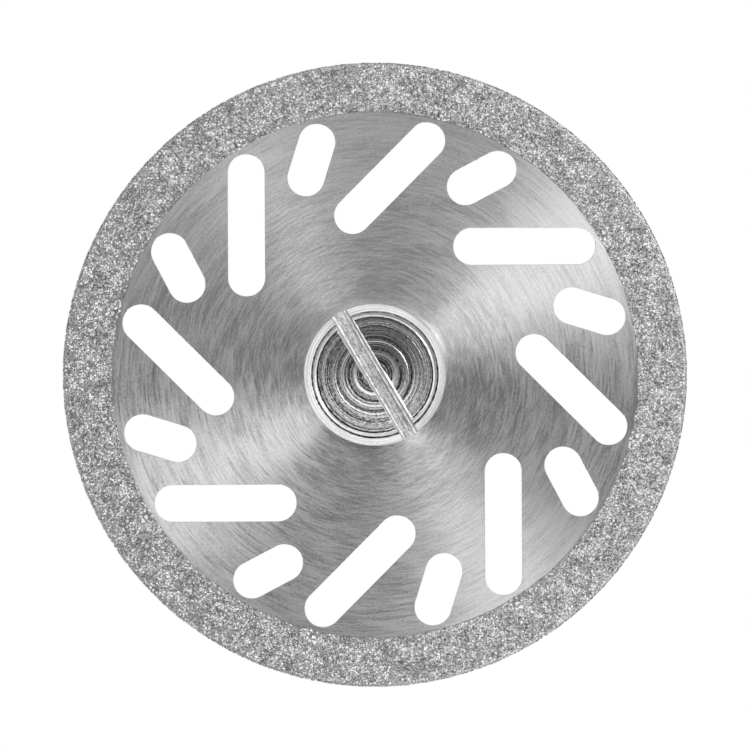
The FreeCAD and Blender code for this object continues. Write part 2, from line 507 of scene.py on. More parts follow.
# Finely turned bright steel: nearly white, with faint rings.
BRIGHT_SCREW = MarkedSteel(
    name="screw_steel_bright",
    dark="#D8D8D8",
    light="#FFFFFF",
    roughness=(0.20, 0.32),
    anisotropy=0.3,
    layers=(
        Marks(across=0.045, along=4.0, weight=1.2),
        Marks(across=0.05, along=0.15, weight=0.5),
        Marks(across=0.30, along=1.6, weight=0.8),
    ),
    relief=0.001,
    reference=2.3,
)
# The coarsely turned face: dark and bright rings, partly because each mark leans its own way and
# partly painted shade and painted reflection.
TURNED_FACE = MarkedSteel(
    name="screw_steel_turned_face",
    dark="#202020",
    light="#FFFFFF",
    roughness=(0.20, 0.30),
    anisotropy=0.2,
    layers=(
        Marks(across=0.04, along=9.0, weight=1.3),
        Marks(across=0.035, along=0.08, weight=0.8),
        Marks(across=0.14, along=6.0, weight=0.5),
    ),
    relief=0.0010,
    reference=1.2,
    # Rings of painted shade, darker in deep marks and in the groove by the bevel, and of painted
    # reflection, lighter at crests.
    painted_rings=(
        *((0.0, -0.15), (0.62, -0.10), (0.70, 0.15), (0.80, 0.0), (0.95, -0.18), (1.10, 0.08)),
        *((1.22, 0.03), (1.31, -0.18), (1.38, 0.10), (1.50, 0.0), (1.75, -0.03), (1.80, 0.12)),
        *((1.90, 0.0), (2.02, -0.15), (2.08, 0.05), (2.12, 0.0), (2.19, -0.08), (2.24, 0.0)),
    ),
)
# The floor of the driver slot: grey and matt, with the slitting cutter's streaks along it.
MILLED_SLOT = MarkedSteel(
    name="screw_steel_milled_slot",
    dark="#8E8E8E",
    light="#DEDEDE",
    roughness=(0.34, 0.46),
    anisotropy=0.6,
    lay=Lay.STRAIGHT,
    layers=(
        Marks(across=0.05, along=0.8, weight=0.6),
        Marks(across=0.09, along=0.2, weight=0.7),
        Marks(across=0.04, along=0.06, weight=1.0),
    ),
    relief=0.001,
    bearing=59.5,
)
# Its rounded corners and raised lips, painted a little brighter than the floor: a painted
# highlight.
SLOT_CORNER_HIGHLIGHT = replace(
    MILLED_SLOT,
    name="screw_steel_slot_corner_highlight",
    dark="#B4B4B4",
    light="#E4E4E4",
    roughness=(0.36, 0.48),
)
# Ground and polished tool steel: clear reflections that are streaked round the shank.
GROUND_SHANK = MarkedSteel(
    name="mandrel_steel_ground",
    dark="#BCBCBC",
    light="#D2D2D2",
    roughness=(0.13, 0.22),
    layers=(
        Marks(across=0.03, along=0.8, weight=0.7),
        Marks(across=0.07, along=2.0, weight=0.3),
    ),
    relief=0.0005,
    reference=1.2,
)


def turn_profile(bm: Mesh, profile: Profile, steps: int) -> None:
    """Spins a profile once round the Z axis and closes its poles.

    Args:
        bm: Mesh that the turned shape is added to.
        profile: Points as (radius, height), in mm.
        steps: Facets round the axis.
    """
    verts = [bm.verts.new((radius, 0, height)) for radius, height in profile]
    edges = [bm.edges.new(pair) for pair in zip(verts, verts[1:])]
    bmesh.ops.spin(
        bm, geom=verts + edges, cent=ORIGIN, axis=UP, angle=math.tau, steps=steps, use_merge=True
    )
    bmesh.ops.remove_doubles(bm, verts=bm.verts, dist=1e-5)


def finished_piece(
    bm: Mesh, name: str, materials: list[Material], crease: float = 30.0, outwards: bool = True
) -> Piece:
    """Turns a mesh drawn in millimetres into an object at the origin.

    Args:
        bm: The mesh, which is freed.
        name: The object's name.
        materials: Its materials, in slot order.
        crease: Edges sharper than this, in degrees, stay sharp.
        outwards: Whether the normals are worked out again to point outwards.

    Returns:
        The new object, linked to the scene.
    """
    bmesh.ops.scale(bm, vec=(MM, MM, MM), verts=bm.verts)
    if outwards:
        bmesh.ops.recalc_face_normals(bm, faces=bm.faces)
    piece = linked_piece(bm, name, materials)
    piece.data.shade_smooth()
    piece.data.set_sharp_from_angle(angle=math.radians(crease))
    return piece


def linked_piece(bm: Mesh, name: str, materials: list[Material]) -> Piece:
    """Turns a mesh drawn in metres into an object in the scene.

    Args:
        bm: The mesh, which is freed.
        name: The object's name.
        materials: Its materials, in slot order.

    Returns:
        The new object.
    """
    mesh = bpy.data.meshes.new(name)
    bm.to_mesh(mesh)
    bm.free()
    for material in materials:
        mesh.materials.append(material)
    piece = bpy.data.objects.new(name, mesh)
    bpy.context.scene.collection.objects.link(piece)
    return piece


def settle(piece: Piece, slot: str, *nodes: str) -> None:
    """Puts a piece on the body, and hides the CAD nodes that it stands for.

    Args:
        piece: The finished piece.
        slot: Its finish; not used.
        *nodes: The CAD nodes that it replaces.
    """
    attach(piece, "root")
    if nodes:
        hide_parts(*nodes)
    log.info("%s: %d faces", piece.name, len(piece.data.polygons))


def node_radius(node: str) -> float:
    """Outer radius of a turned CAD node, in mm."""
    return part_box(node)[1].x / MM


def node_levels(node: str) -> Pair:
    """Lowest and highest level of a CAD node, in mm."""
    low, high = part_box(node)
    return low.z / MM, high.z / MM


@dataclass
class SlotRing:
    """A ring of equal obround slots that all lean the same way.

    Attributes:
        length: Over the round ends.
        distance: From the axis to the middle of a slot.
        azimuth: Of the first slot, in degrees.
        lean: Turn of a slot away from the radius, in degrees.
        width: Of a slot.
        count: Slots in the ring.
    """

    length: float
    distance: float
    azimuth: float
    lean: float
    width: float = 1.3
    count: int = 8

    def places(self) -> list[Matrix]:
        """Works out where the slots lie.

        Returns:
            Matrices that put an obround drawn along X at the origin into each slot.
        """
        return [
            Matrix.Rotation(math.radians(self.azimuth) + math.tau * turn / self.count, 4, "Z")
            @ Matrix.Translation((self.distance, 0, 0))
            @ Matrix.Rotation(math.radians(self.lean), 4, "Z")
            for turn in range(self.count)
        ]


@dataclass
class Blade:
    """Thin steel disc with a bore and two rings of punched slots.

    Attributes:
        long_slots: The longer slots.
        short_slots: The shorter slots between them.
        bore_radius: Of the hole for the screw.
        roll_over: Radius that the punch leaves at its entry side.
        break_edge: Bevel on the other side.
        slot_segments: Facets round one slot.
        rim_segments: Facets round the disc.
    """

    long_slots: SlotRing = field(
        default_factory=lambda: SlotRing(length=5.0, distance=6.94, azimuth=4.3, lean=40.4)
    )
    short_slots: SlotRing = field(
        default_factory=lambda: SlotRing(length=2.6, distance=7.88, azimuth=28.5, lean=33.6)
    )
    bore_radius: float = 0.9
    roll_over: float = 0.012
    break_edge: float = 0.006
    slot_segments: int = 48
    rim_segments: int = 360

    def build(self) -> None:
        """Makes the blade: loops round every edge, joined into walls, and two filled faces."""
        bm = bmesh.new()
        still = Matrix()
        walls = [
            self._edge_loops(bm, 0, node_radius("blade"), self.rim_segments, still, -1),
            self._edge_loops(bm, 0, self.bore_radius, self.slot_segments, still, 1),
        ]
        for ring in (self.long_slots, self.short_slots):
            reach = (ring.length - ring.width) / 2
            for place in ring.places():
                walls.append(
                    self._edge_loops(bm, reach, ring.width / 2, self.slot_segments, place, 1)
                )
        for end, side in ((0, -1), (-1, 1)):
            edges = [edge for loops in walls for edge in loops[end]]
            bmesh.ops.triangle_fill(bm, use_beauty=True, edges=edges, normal=(0, 0, side))
        finishes = [BRUSHED_BLADE.build(), PUNCHED_WALL.build()]
        piece = finished_piece(bm, "steel_blade", finishes, crease=15.0)
        for face in piece.data.polygons:
            face.material_index = int(abs(face.normal.z) < FLAT)
        settle(piece, "blade_steel", "blade")

    def _edge_loops(
        self, bm: Mesh, reach: float, radius: float, segments: int, place: Matrix, sense: int
    ) -> list[list[bmesh.types.BMEdge]]:
        """Draws the loops down one edge of the plate and joins them into its wall.

        Args:
            bm: The blade's mesh.
            reach: Half the straight stretch of an obround, and 0 for a circle.
            radius: Of the round ends, at the wall.
            segments: Facets round the outline.
            place: Where the outline lies.
            sense: 1 for a hole and -1 for the disc's own edge.

        Returns:
            The edges of each loop, from the lower face to the upper one.
        """
        low, high = node_levels("blade")
        halfway = self.roll_over * (1 - math.sqrt(0.5))
        steps = [
            (self.roll_over, low),
            (halfway, low + halfway),
            (0.0, low + self.roll_over),
            (0.0, high - self.break_edge),
            (self.break_edge, high),
        ]
        half_step = Matrix.Rotation(math.pi / segments, 4, "Z")
        loops = []
        for offset, level in steps:
            verts = bmesh.ops.create_circle(
                bm, segments=segments, radius=radius + sense * offset, matrix=half_step
            )["verts"]
            for side in (-1, 1):
                end = [vert for vert in verts if vert.co.x * side > 0]
                bmesh.ops.translate(bm, vec=(side * reach, 0, 0), verts=end)
            lifted = Matrix.Translation((0, 0, level)) @ place
            bmesh.ops.transform(bm, matrix=lifted, verts=verts)
            loops.append(list({edge for vert in verts for edge in vert.link_edges}))
        for lower, upper in zip(loops, loops[1:]):
            bmesh.ops.bridge_loops(bm, edges=lower + upper)
        return loops


@dataclass
class DiamondRim:
    """Nickel layer over both faces and the edge of the blade, with diamond grains set in it.

    Attributes:
        inner_radius: Where the coat ends on the blade.
        coat: Thickness of the coat over the grains' tips.
        bond: Thickness of the nickel between the grains.
        fringe: How far the nickel reaches past the last grains.
        wander: How far the inner edge strays from its circle, at each of wander_scales.
        wander_scales: Turns of the noise in that edge.
        tuck: How far the nickel's seat reaches in under its inner edge.
        lump: Height of the lumps in the nickel's skin.
        lump_scale: Lumps in a millimetre.
        pitch: Distance between grains.
        scatter: How far a grain strays from its place, as a share of the pitch.
        grain: Smallest and largest radius of a grain.
        stretch: Least and most stretch of a grain along one of its axes.
        squash: Height of a grain over its width.
        octahedra: Share of the grains that are octahedra; the others are cubes.
        cube_side: Side of a cubic grain over the radius of the other kind.
        chipping: How far a grain's corner is out of place, as a share of its radius.
        sinking: How deep a grain's tip may lie, as a share of the coat over the bond.
        wedges: Copies of one worked-out wedge that make up the ring.
        spans: Facets of the nickel across the rim's width.
        corner_spans: Facets round each of its outer corners.
        steps: Facets of the nickel round the axis.
    """

    inner_radius: float = 9.27
    coat: float = 0.07
    bond: float = 0.034
    fringe: float = 0.03
    wander: float = 0.03
    wander_scales: Pair = (40, 150)
    tuck: float = 0.01
    lump: float = 0.006
    lump_scale: float = 12
    pitch: float = 0.076
    scatter: float = 0.35
    grain: Pair = (0.034, 0.056)
    stretch: Pair = (0.75, 1.15)
    squash: float = 0.62
    octahedra: float = 0.6
    cube_side: float = 1.3
    chipping: float = 0.15
    sinking: float = 0.4
    wedges: int = 8
    spans: int = 12
    corner_spans: int = 3
    steps: int = 720

    def build(self) -> None:
        """Makes the nickel layer and the three pieces of grit."""
        settle(self._bond(), "diamond_grit", "diamond_rim")
        grit = DiamondGrain().build()
        outer = node_radius("diamond_rim")
        low, high = node_levels("diamond_rim")
        shoulder = outer - self.coat
        for name, level, side, seed in (("grit_front", low, -1, 11), ("grit_back", high, 1, 12)):
            radii = self._spaced(self.inner_radius + self.fringe, shoulder)
            rows = [(Vector((radius, 0, level)), Vector((0, 0, side))) for radius in radii]
            self._grit(name, rows, grit, seed)
        corner_rows = []
        for turn in self._spaced(0.0, math.pi / 2 * self.coat):
            angle = turn / self.coat
            for level, side in ((low + self.coat, -1), (high - self.coat, 1)):
                outwards = Vector((math.cos(angle), 0, side * math.sin(angle)))
                corner_rows.append((Vector((shoulder, 0, level)) + outwards * self.coat, outwards))
        for level in self._spaced(low + self.coat + self.pitch, high - self.coat):
            corner_rows.append((Vector((outer, 0, level)), Vector((1, 0, 0))))
        self._grit("grit_edge", corner_rows, grit, seed=13)

    def _spaced(self, start: float, end: float) -> list[float]:
        """Even steps of about one pitch from start, stopping short of end."""
        count = max(1, round((end - start) / self.pitch))
        return [start + (end - start) * number / count for number in range(count)]

    def _bond(self) -> Piece:
        """Makes the nickel layer, a ring of U section with a lumpy skin.

        Returns:
            The nickel layer.
        """
        low, high = node_levels("diamond_rim")
        seat_low, seat_high = node_levels("blade")
        shoulder = node_radius("diamond_rim") - self.coat
        sunk = self.coat - self.bond
        width = shoulder - self.inner_radius
        radii = [self.inner_radius + width * n / self.spans for n in range(self.spans)]
        quarter = [math.pi / 2 * n / self.corner_spans for n in range(self.corner_spans + 1)]
        corner = [(self.bond * math.sin(turn), self.bond * math.cos(turn)) for turn in quarter]
        inside = self.inner_radius - self.tuck
        profile = [(radius, low + sunk) for radius in radii]
        profile += [(shoulder + out, seat_low - up) for out, up in corner]
        profile += [(shoulder + out, seat_high + up) for up, out in corner]
        profile += [(radius, high - sunk) for radius in reversed(radii)]
        profile += [(inside, seat_high), (shoulder, seat_high)]
        profile += [(shoulder, seat_low), (inside, seat_low), profile[0]]
        bm = bmesh.new()
        turn_profile(bm, profile, self.steps)
        for vert in bm.verts:
            bearing = Vector((vert.co.x, vert.co.y, 0)).normalized()
            if vert.co.xy.length < self.inner_radius + TOUCH:
                strays = (noise.noise(bearing * scale) for scale in self.wander_scales)
                vert.co += bearing * self.wander * sum(strays)
            if not seat_low - TOUCH <= vert.co.z <= seat_high + TOUCH:
                vert.co.z += self.lump * noise.noise(vert.co * self.lump_scale)
        return finished_piece(bm, "nickel_bond", [NickelPlate().build()], crease=60.0)

    def _grit(
        self, name: str, rows: list[tuple[Vector, Vector]], material: Material, seed: int
    ) -> None:
        """Sets rows of grains into one wedge of the coat and copies the wedge round the axis.

        Args:
            name: Piece name.
            rows: A place on the coat's skin and its outward direction, for each row.
            material: The grains' material.
            seed: Start of the random draws.
        """
        draw = random.Random(seed)
        wedge = math.tau / self.wedges
        bm = bmesh.new()
        bm.faces.layers.float.new(GRAIN_TONE)
        for start, outwards in rows:
            count = round(wedge * start.x / self.pitch)
            inwards = Vector((outwards.z, 0, -outwards.x)) * abs(outwards.z)
            row = bmesh.new()
            row.faces.layers.float.new(GRAIN_TONE)
            for number in range(count):
                angle = wedge * (number + draw.uniform(-self.scatter, self.scatter)) / count
                stray = draw.uniform(-self.scatter, self.scatter) * self.pitch
                self._set_grain(row, draw, start + inwards * stray, outwards, angle)
            mesh = bpy.data.meshes.new("row")
            row.to_mesh(mesh)
            row.free()
            bm.from_mesh(mesh)
            bpy.data.meshes.remove(mesh)
        bmesh.ops.spin(
            bm,
            geom=bm.verts[:] + bm.edges[:] + bm.faces[:],
            cent=ORIGIN,
            axis=UP,
            angle=math.tau - wedge,
            steps=self.wedges - 1,
            use_duplicate=True,
        )
        settle(finished_piece(bm, name, [material], crease=5.0, outwards=False), "diamond_grit")

    def _set_grain(
        self, row: Mesh, draw: random.Random, skin: Vector, outwards: Vector, angle: float
    ) -> None:
        """Sets one blocky crystal so that its highest tip lies just inside the coat's skin.

        Args:
            row: Mesh of the row of grains.
            draw: The random draws.
            skin: Where the grain stands on the skin, at azimuth 0.
            outwards: Direction out of the skin there.
            angle: Azimuth to which the grain is turned, in radians.
        """
        size = draw.uniform(*self.grain)
        axis = Vector([draw.gauss(0, 1) for _ in range(3)]).normalized()
        spin = Matrix.Rotation(draw.uniform(0, math.tau), 4, axis)
        stretch = Matrix.Diagonal([draw.uniform(*self.stretch) for _ in range(3)] + [1])
        habit = Matrix.Scale(self.squash, 4, outwards) @ spin @ stretch
        if draw.random() < self.octahedra:
            made = bmesh.ops.create_uvsphere(
                row, u_segments=4, v_segments=2, radius=size, matrix=habit
            )
        else:
            made = bmesh.ops.create_cube(row, size=size * self.cube_side, matrix=habit)
        verts = made["verts"]
        chip = self.chipping
        for vert in verts:
            vert.co += Vector([draw.uniform(-chip, chip) * size for _ in range(3)])
        reach = max(vert.co.dot(outwards) for vert in verts)
        sunk = draw.uniform(0.0, self.sinking) * (self.coat - self.bond)
        centre = skin - outwards * (reach + sunk)
        turn = Matrix.Rotation(angle, 4, "Z") @ Matrix.Translation(centre)
        bmesh.ops.transform(row, matrix=turn, verts=verts)
        tone = row.faces.layers.float[GRAIN_TONE]
        shade = draw.random()
        for face in {face for vert in verts for face in vert.link_faces}:
            face[tone] = shade


@dataclass
class ClampScrew:
    """Flat-headed screw with a turned face, a bright bevel and a slot right across the head.

    A small profile is a table of points, each a distance out and a depth.

    Attributes:
        bevel: Width of the bevel round the face.
        bevel_marks: Marks across the bevel.
        bevel_ripple: Height of one.
        edge_break: Outer edge of the bevel, past its corner.
        groove: The fine groove just inside the bevel, from the bevel's inner edge.
        land: Width of the flat ring inside that, groove included.
        step: The step down inside the flat ring, from that ring's inner edge.
        face_gap: From there to the turned face.
        face_edge: Width of the smooth ring round the turned face.
        recess: Depth of the turned face at its edge.
        dish: Further depth of the face at the middle.
        feed: Distance between the lathe tool's marks on the face.
        first_mark: Radius of the first mark.
        mark_depth: Depth of a mark.
        mark_widths: Narrowest and widest mark, as a share of the feed.
        mark_depths: Shallowest and deepest mark, as a share of the depth.
        mark: Shape of a mark, as shares of its width and depth.
        deep_marks: Radius and further depth of the marks that stand out.
        deep_reach: How far from its radius a deep mark reaches.
        slot_width: Of the driver slot.
        slot_depth: Of the driver slot.
        slot_coves: Radius between its floor and its lower and its upper wall.
        cove_facets: Facets of each of these.
        slot_tracks: Tracks of the cutter across the floor.
        track_depth: Height of a track.
        slot_bearing: Direction of the slot, in degrees from +X.
        run_out: How far the cutter reaches past the head.
        burr: Width of the lip that the cutter left along the slot.
        burr_height: Height of the lip along one side of the slot and along the other.
        burr_swell: Usual share of that height, and how far it comes and goes.
        burr_waves: Turns of that swell in a millimetre, and how far the sides are apart in it.
        burr_shoulder: Height of the lip's outer edge over its own.
        burr_foot: Depth of the foot's edge below the face.
        burr_root: Depth of the lip's root below the face.
        burr_gap: From the lip's ends to the edge of the face.
        burr_sections: Facets along it.
        flank: Width of the lip's foot on the cutter's way in and on its way out.
        seat: Level of the head's underside.
        seat_edge: Bevel at that edge.
        tip: Bevel at the screw's end, as its width and its length.
        thread_radius: Over the crests.
        thread_pitch: Of the metric thread.
        thread_depth: Share of the pitch.
        thread_root: The ridge's foot below and above the core's surface.
        thread_stop: From the last ridge to the screw's end.
        thread_facets: Facets of the ridge in one turn.
        segments: Facets round the axis.
    """

    bevel: float = 0.26
    bevel_marks: int = 8
    bevel_ripple: float = 0.0015
    edge_break: Table = ((-0.004, -0.004), (0.0, 0.006))
    groove: Table = ((-0.07, 0.0), (-0.04, 0.032), (-0.012, 0.004), (0.0, 0.002), (0.01, 0.01))
    land: float = 0.18
    step: Table = ((-0.01, 0.048), (0.036, 0.002), (0.042, 0.0))
    face_gap: float = 0.012
    face_edge: float = 0.02
    recess: float = 0.04
    dish: float = 0.05
    feed: float = 0.075
    first_mark: float = 0.04
    mark_depth: float = 0.007
    mark_widths: Pair = (0.7, 1.3)
    mark_depths: Pair = (0.5, 1.2)
    mark: Table = ((0.0, 1.0), (0.08, 0.95), (0.88, 0.06), (0.96, 0.0))
    deep_marks: Table = ((0.69, 0.003), (1.06, 0.003), (1.37, 0.003), (1.80, 0.003))
    deep_reach: float = 0.025
    slot_width: float = 0.6
    slot_depth: float = 0.5
    slot_coves: Pair = (0.09, 0.17)
    cove_facets: int = 6
    slot_tracks: int = 12
    track_depth: float = 0.005
    slot_bearing: float = MILLED_SLOT.bearing
    run_out: float = 0.5
    burr: float = 0.028
    burr_height: Pair = (0.020, 0.006)
    burr_swell: Pair = (0.8, 0.4)
    burr_waves: Pair = (6, 9)
    burr_shoulder: float = 0.35
    burr_foot: float = 0.002
    burr_root: float = 0.03
    burr_gap: float = 0.01
    burr_sections: int = 60
    flank: Pair = (0.045, 0.015)
    seat: float = 1.0
    seat_edge: float = 0.02
    tip: Pair = (0.2, 0.25)
    thread_radius: float = 0.8
    thread_pitch: float = 0.35
    thread_depth: float = 0.6134
    thread_root: Pair = (-0.02, 0.01)
    thread_stop: float = 0.3
    thread_facets: int = 32
    segments: int = 256

    def build(self) -> None:
        """Turns the screw, mills its slot and cuts its thread."""
        bm = bmesh.new()
        turn_profile(bm, self._profile(), self.segments)
        bright, turned, corner = BRIGHT_SCREW.build(), TURNED_FACE.build(), SLOT_CORNER_HIGHLIGHT.build()
        piece = finished_piece(bm, "clamp_screw_turned", [bright, turned], crease=14.0)
        edge = node_radius("clamp_screw") - self.bevel
        for face in piece.data.polygons:
            radius = face.center.xy.length / MM
            in_face = radius < edge - self.land
            # The groove inside the bevel takes the darker face finish: painted shade in the
            # groove.
            in_shaded_groove = edge + self.groove[0][0] < radius < edge
            low = face.center.z < self.bevel * MM
            face.material_index = int(low and (in_face or in_shaded_groove))
        self._mill_slot(piece, corner)
        # The photograph shows no shadow of the head on the blade.
        piece.visible_shadow = False
        settle(piece, "screw_steel", "clamp_screw")
        self._lips(corner)
        self._thread(bright)

    def _face_profile(self, outside: float) -> Profile:
        """Draws the profile of the turned face, from the middle outwards.

        Args:
            outside: Radius at which the face ends.

        Returns:
            The profile.
        """
        draw = random.Random(7)
        points = [(0.0, self.recess + self.dish)]
        radius = self.first_mark
        while radius < outside - self.feed:
            width = self.feed * draw.uniform(*self.mark_widths)
            depth = self.mark_depth * draw.uniform(*self.mark_depths)
            level = self._dish_level(radius, outside)
            points += [(radius + width * share, level + depth * sink) for share, sink in self.mark]
            radius += width
        points.append((outside - self.face_edge, self.recess))
        for place, depth in self.deep_marks:
            points = [
                (radius, level + depth * max(0.0, 1 - abs(radius - place) / self.deep_reach))
                for radius, level in points
            ]
        return points

    def _dish_level(self, radius: float, outside: float) -> float:
        """Level of the smooth face at a radius."""
        return self.recess + self.dish * (1 - (radius / outside) ** 2)

    def _core(self) -> float:
        """Radius at the bottom of the thread."""
        return self.thread_radius - self.thread_depth * self.thread_pitch

    def _profile(self) -> Profile:
        """Draws the profile of the whole screw, from the middle of the face to the tip.

        Returns:
            The profile.
        """
        head, end, core = node_radius("clamp_screw"), node_levels("clamp_screw")[1], self._core()
        edge = head - self.bevel
        inside = edge - self.land
        profile = self._face_profile(inside - self.face_gap)
        profile += [(inside + out, depth) for out, depth in self.step]
        profile += [(edge + out, depth) for out, depth in self.groove]
        for number in range(1, self.bevel_marks):
            share = self.bevel * number / self.bevel_marks
            profile.append((edge + share, share + self.bevel_ripple * (-1) ** number))
        profile += [(head + out, self.bevel + depth) for out, depth in self.edge_break]
        profile += [(head, self.seat - self.seat_edge), (head - self.seat_edge, self.seat)]
        profile += [(core, self.seat), (core, end - self.tip[1])]
        profile += [(core - self.tip[0], end), (0.0, end)]
        return profile

    def _turn_to_slot(self, bm: Mesh) -> None:
        """Turns what was drawn along +X into the slot's direction."""
        turn = Matrix.Rotation(math.radians(self.slot_bearing), 3, "Z")
        bmesh.ops.rotate(bm, cent=ORIGIN, matrix=turn, verts=bm.verts)

    def _mill_slot(self, piece: Piece, corner: Material) -> None:
        """Cuts the driver slot out of the head, with a grooved floor and coved corners.

        Args:
            piece: The turned screw.
            corner: Material of the slot's coves and walls, painted brighter as a highlight.
        """
        draw = random.Random(21)
        half = self.slot_width / 2
        reach = node_radius("clamp_screw") + self.run_out
        tracks = self.slot_tracks
        lower, upper = (self._cove(radius) for radius in self.slot_coves)
        start, end = -lower[0][0], upper[0][0]
        floor = [
            (
                start + (end - start) * n / tracks,
                self.slot_depth - draw.uniform(0.0, self.track_depth),
            )
            for n in range(1, tracks)
        ]
        falling = [(-across, level) for across, level in reversed(lower)]
        outline = [(-half, -self.run_out), *falling, *floor, *upper, (half, -self.run_out)]
        bm = bmesh.new()
        cap = bm.faces.new([bm.verts.new((-reach, across, level)) for across, level in outline])
        pulled = bmesh.ops.extrude_face_region(bm, geom=[cap])["geom"]
        moved = [item for item in pulled if isinstance(item, bmesh.types.BMVert)]
        bmesh.ops.translate(bm, vec=(2 * reach, 0, 0), verts=moved)
        self._turn_to_slot(bm)
        cutter = finished_piece(bm, "slot_cutter", [MILLED_SLOT.build(), corner])
        for face in cutter.data.polygons:
            face.material_index = int(abs(face.normal.z) < FLAT)
        cut = piece.modifiers.new("driver_slot", "BOOLEAN")
        cut.operation = "DIFFERENCE"
        cut.solver = "EXACT"
        cut.material_mode = "TRANSFER"
        cut.object = cutter
        graph = bpy.context.evaluated_depsgraph_get()
        mesh = bpy.data.meshes.new_from_object(piece.evaluated_get(graph))
        piece.modifiers.clear()
        piece.data = mesh
        mesh.name = piece.name
        mesh.set_sharp_from_angle(angle=math.radians(35))
        bpy.data.objects.remove(cutter)

    def _cove(self, radius: float) -> Profile:
        """Rounds the corner at the positive side of the slot, from its floor up to its wall.

        Args:
            radius: Of the rounding.

        Returns:
            Points as (across, depth).
        """
        half, depth, facets = self.slot_width / 2, self.slot_depth, self.cove_facets
        turns = [math.pi / 2 * number / facets for number in range(facets + 1)]
        return [
            (half - radius * (1 - math.sin(turn)), depth - radius * (1 - math.cos(turn)))
            for turn in turns
        ]

    def _lips(self, material: Material) -> None:
        """Makes the thin lip that the cutter pushed up along each side of the slot.

        Args:
            material: Of the lips.
        """
        inside = node_radius("clamp_screw") - self.bevel - self.land
        half = self.slot_width / 2
        reach = math.sqrt(inside**2 - half**2) - self.burr_gap
        count = self.burr_sections
        (usual, swing), (turns, apart) = self.burr_swell, self.burr_waves
        bm = bmesh.new()
        for side, tall in zip((1, -1), self.burr_height):
            sections = []
            for number in range(count + 1):
                along = -reach + 2 * reach * number / count
                level = self._dish_level(math.hypot(along, half), inside)
                swell = noise.noise(Vector((along * turns, side * apart, 0)))
                height = tall * (usual + swing * swell)
                flank = self.flank[0] if side * along < 0 else self.flank[1]
                ridge = half + self.burr
                foot = ridge + flank * (1 + swell)
                corners = [
                    (half, level + self.burr_root),
                    (half, level - height),
                    (ridge, level - height * self.burr_shoulder),
                    (foot, level + self.burr_foot),
                    (foot, level + self.burr_root),
                ]
                ring = [bm.verts.new((along, side * across, z)) for across, z in corners]
                sections.append([bm.edges.new(pair) for pair in zip(ring[-1:] + ring, ring)])
            for first, second in zip(sections, sections[1:]):
                bmesh.ops.bridge_loops(bm, edges=first + second)
            for ending in (sections[0], sections[-1]):
                bmesh.ops.edgeloop_fill(bm, edges=ending)
        self._turn_to_slot(bm)
        settle(finished_piece(bm, "slot_burr", [material], crease=40.0), "screw_steel")

    def _thread(self, material: Material) -> None:
        """Winds the thread's ridge round the shank.

        Args:
            material: Of the ridge.
        """
        pitch, core = self.thread_pitch, self._core()
        start = node_levels("mandrel")[0] + pitch
        turns = (node_levels("clamp_screw")[1] - self.thread_stop - start) / pitch - 1
        steps = round(turns * self.thread_facets)
        # A metric ridge is 7/8 of the pitch wide at its foot and 1/8 at its crest.
        half, crest = pitch * 7 / 16, pitch / 16
        rising = [(core + out, start - half) for out in self.thread_root]
        rising.append((self.thread_radius, start - crest))
        falling = [(radius, 2 * start - level) for radius, level in reversed(rising)]
        bm = bmesh.new()
        face = bm.faces.new([bm.verts.new((radius, 0, z)) for radius, z in rising + falling])
        bmesh.ops.spin(
            bm,
            geom=[face],
            cent=ORIGIN,
            axis=UP,
            dvec=(0, 0, turns * pitch / steps),
            angle=math.tau * turns,
            steps=steps,
        )
        settle(finished_piece(bm, "screw_thread", [material], crease=40.0), "screw_steel")


